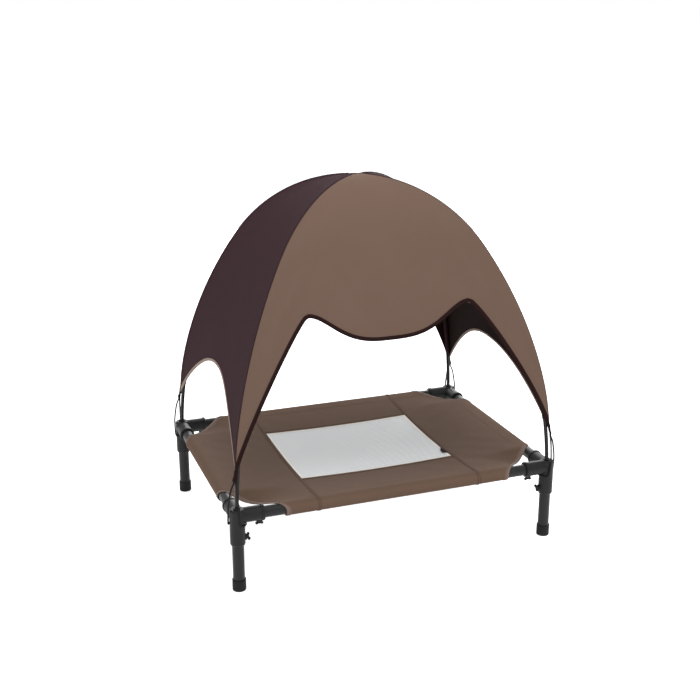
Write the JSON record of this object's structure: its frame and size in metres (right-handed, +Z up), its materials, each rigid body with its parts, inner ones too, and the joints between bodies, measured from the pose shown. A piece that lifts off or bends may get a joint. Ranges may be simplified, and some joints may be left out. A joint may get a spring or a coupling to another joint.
{
  "type": "raised dog cot",
  "caption": "Raised pet cot: tube frame with moulded corners, sewn sheet with a mesh panel, and a lift-off dome canopy on crossed poles held by elastic loops.",
  "frame": {"origin": "on the floor, under the centre of the cot", "axes": "+X along the cot, +Y from front to back, +Z up"},
  "size_m": [0.764, 0.564, 0.8168],
  "materials": {
    "tube_steel": "satin powder coat",
    "foot_rubber": "matt",
    "connector_plastic": "fine moulded texture",
    "screw_plastic": "moulded",
    "sheet_cloth": "coated plain weave",
    "mesh": "open coated mesh",
    "light_cloth": "plain weave",
    "dark_cloth": "plain weave",
    "dark_tape": "folded binding tape",
    "light_tape": "folded binding tape",
    "pole_glass_fibre": "satin",
    "ferrule_metal": "drawn tube",
    "elastic_cord": "braided cover"
  },
  "bodies": {
    "frame": {"leg_front_left": "tube_steel", "leg_front_right": "tube_steel", "leg_back_left": "tube_steel", "leg_back_right": "tube_steel", "foot_cap_front_left": "foot_rubber", "foot_cap_front_right": "foot_rubber", "foot_cap_back_left": "foot_rubber", "foot_cap_back_right": "foot_rubber", "connector_front_left": "connector_plastic", "connector_front_right": "connector_plastic", "connector_back_left": "connector_plastic", "connector_back_right": "connector_plastic", "rail_front": "tube_steel", "rail_back": "tube_steel", "rail_left": "tube_steel", "rail_right": "tube_steel", "sheet_front": "sheet_cloth", "sheet_back": "sheet_cloth", "sheet_left": "sheet_cloth", "sheet_right": "sheet_cloth", "mesh_panel": "mesh", "seam_tab": "dark_cloth", "elastic_loop_front_left": "elastic_cord", "elastic_loop_front_right": "elastic_cord", "elastic_loop_back_left": "elastic_cord", "elastic_loop_back_right": "elastic_cord"},
    "canopy": {"pole_a_front": "pole_glass_fibre", "pole_a_crown": "pole_glass_fibre", "pole_a_back": "pole_glass_fibre", "pole_b_front": "pole_glass_fibre", "pole_b_crown": "pole_glass_fibre", "pole_b_back": "pole_glass_fibre", "ferrules_a": "ferrule_metal", "ferrules_b": "ferrule_metal", "pole_sleeves_a": "dark_cloth", "pole_sleeves_b": "dark_cloth", "gore_front": "light_cloth", "gore_back": "light_cloth", "gore_left": "dark_cloth", "gore_right": "dark_cloth", "binding_front": "dark_tape", "binding_back": "dark_tape", "binding_left": "light_tape", "binding_right": "light_tape", "tip_tab_front_left": "dark_tape", "tip_tab_front_right": "dark_tape", "tip_tab_back_left": "dark_tape", "tip_tab_back_right": "dark_tape"},
    "screw_leg_front_left": {"screw_leg_front_left": "screw_plastic"},
    "screw_leg_front_right": {"screw_leg_front_right": "screw_plastic"},
    "screw_leg_back_left": {"screw_leg_back_left": "screw_plastic"},
    "screw_leg_back_right": {"screw_leg_back_right": "screw_plastic"},
    "screw_long_front_left": {"screw_long_front_left": "screw_plastic"},
    "screw_long_front_right": {"screw_long_front_right": "screw_plastic"},
    "screw_long_back_left": {"screw_long_back_left": "screw_plastic"},
    "screw_long_back_right": {"screw_long_back_right": "screw_plastic"},
    "screw_short_front_left": {"screw_short_front_left": "screw_plastic"},
    "screw_short_front_right": {"screw_short_front_right": "screw_plastic"},
    "screw_short_back_left": {"screw_short_back_left": "screw_plastic"},
    "screw_short_back_right": {"screw_short_back_right": "screw_plastic"}
  },
  "joints": [
    {"name": "canopy_lift", "type": "slide", "parent": "frame", "child": "canopy", "axis": [0, 0, 1], "range_m": [0, 0.06], "stiffness_N_per_m": 120, "springref_m": -0.03, "deforming": ["elastic_loop_front_left", "elastic_loop_front_right", "elastic_loop_back_left", "elastic_loop_back_right"]},
    {"name": "screw_leg_front_left_turn", "type": "hinge", "parent": "frame", "child": "screw_leg_front_left", "pos_m": [-0.362, -0.262, 0.12], "axis": [1, 0, 0], "range_deg": [0, 450]},
    {"name": "screw_leg_front_right_turn", "type": "hinge", "parent": "frame", "child": "screw_leg_front_right", "pos_m": [0.362, -0.262, 0.12], "axis": [-1, 0, 0], "range_deg": [0, 450]},
    {"name": "screw_leg_back_left_turn", "type": "hinge", "parent": "frame", "child": "screw_leg_back_left", "pos_m": [-0.362, 0.262, 0.12], "axis": [1, 0, 0], "range_deg": [0, 450]},
    {"name": "screw_leg_back_right_turn", "type": "hinge", "parent": "frame", "child": "screw_leg_back_right", "pos_m": [0.362, 0.262, 0.12], "axis": [-1, 0, 0], "range_deg": [0, 450]},
    {"name": "screw_long_front_left_turn", "type": "hinge", "parent": "frame", "child": "screw_long_front_left", "pos_m": [-0.315, -0.262, 0.17], "axis": [0, 0, -1], "range_deg": [0, 450]},
    {"name": "screw_long_front_right_turn", "type": "hinge", "parent": "frame", "child": "screw_long_front_right", "pos_m": [0.315, -0.262, 0.17], "axis": [0, 0, -1], "range_deg": [0, 450]},
    {"name": "screw_long_back_left_turn", "type": "hinge", "parent": "frame", "child": "screw_long_back_left", "pos_m": [-0.315, 0.262, 0.17], "axis": [0, 0, -1], "range_deg": [0, 450]},
    {"name": "screw_long_back_right_turn", "type": "hinge", "parent": "frame", "child": "screw_long_back_right", "pos_m": [0.315, 0.262, 0.17], "axis": [0, 0, -1], "range_deg": [0, 450]},
    {"name": "screw_short_front_left_turn", "type": "hinge", "parent": "frame", "child": "screw_short_front_left", "pos_m": [-0.362, -0.215, 0.17], "axis": [0, 0, -1], "range_deg": [0, 450]},
    {"name": "screw_short_front_right_turn", "type": "hinge", "parent": "frame", "child": "screw_short_front_right", "pos_m": [0.362, -0.215, 0.17], "axis": [0, 0, -1], "range_deg": [0, 450]},
    {"name": "screw_short_back_left_turn", "type": "hinge", "parent": "frame", "child": "screw_short_back_left", "pos_m": [-0.362, 0.215, 0.17], "axis": [0, 0, -1], "range_deg": [0, 450]},
    {"name": "screw_short_back_right_turn", "type": "hinge", "parent": "frame", "child": "screw_short_back_right", "pos_m": [0.362, 0.215, 0.17], "axis": [0, 0, -1], "range_deg": [0, 450]}
  ]
}
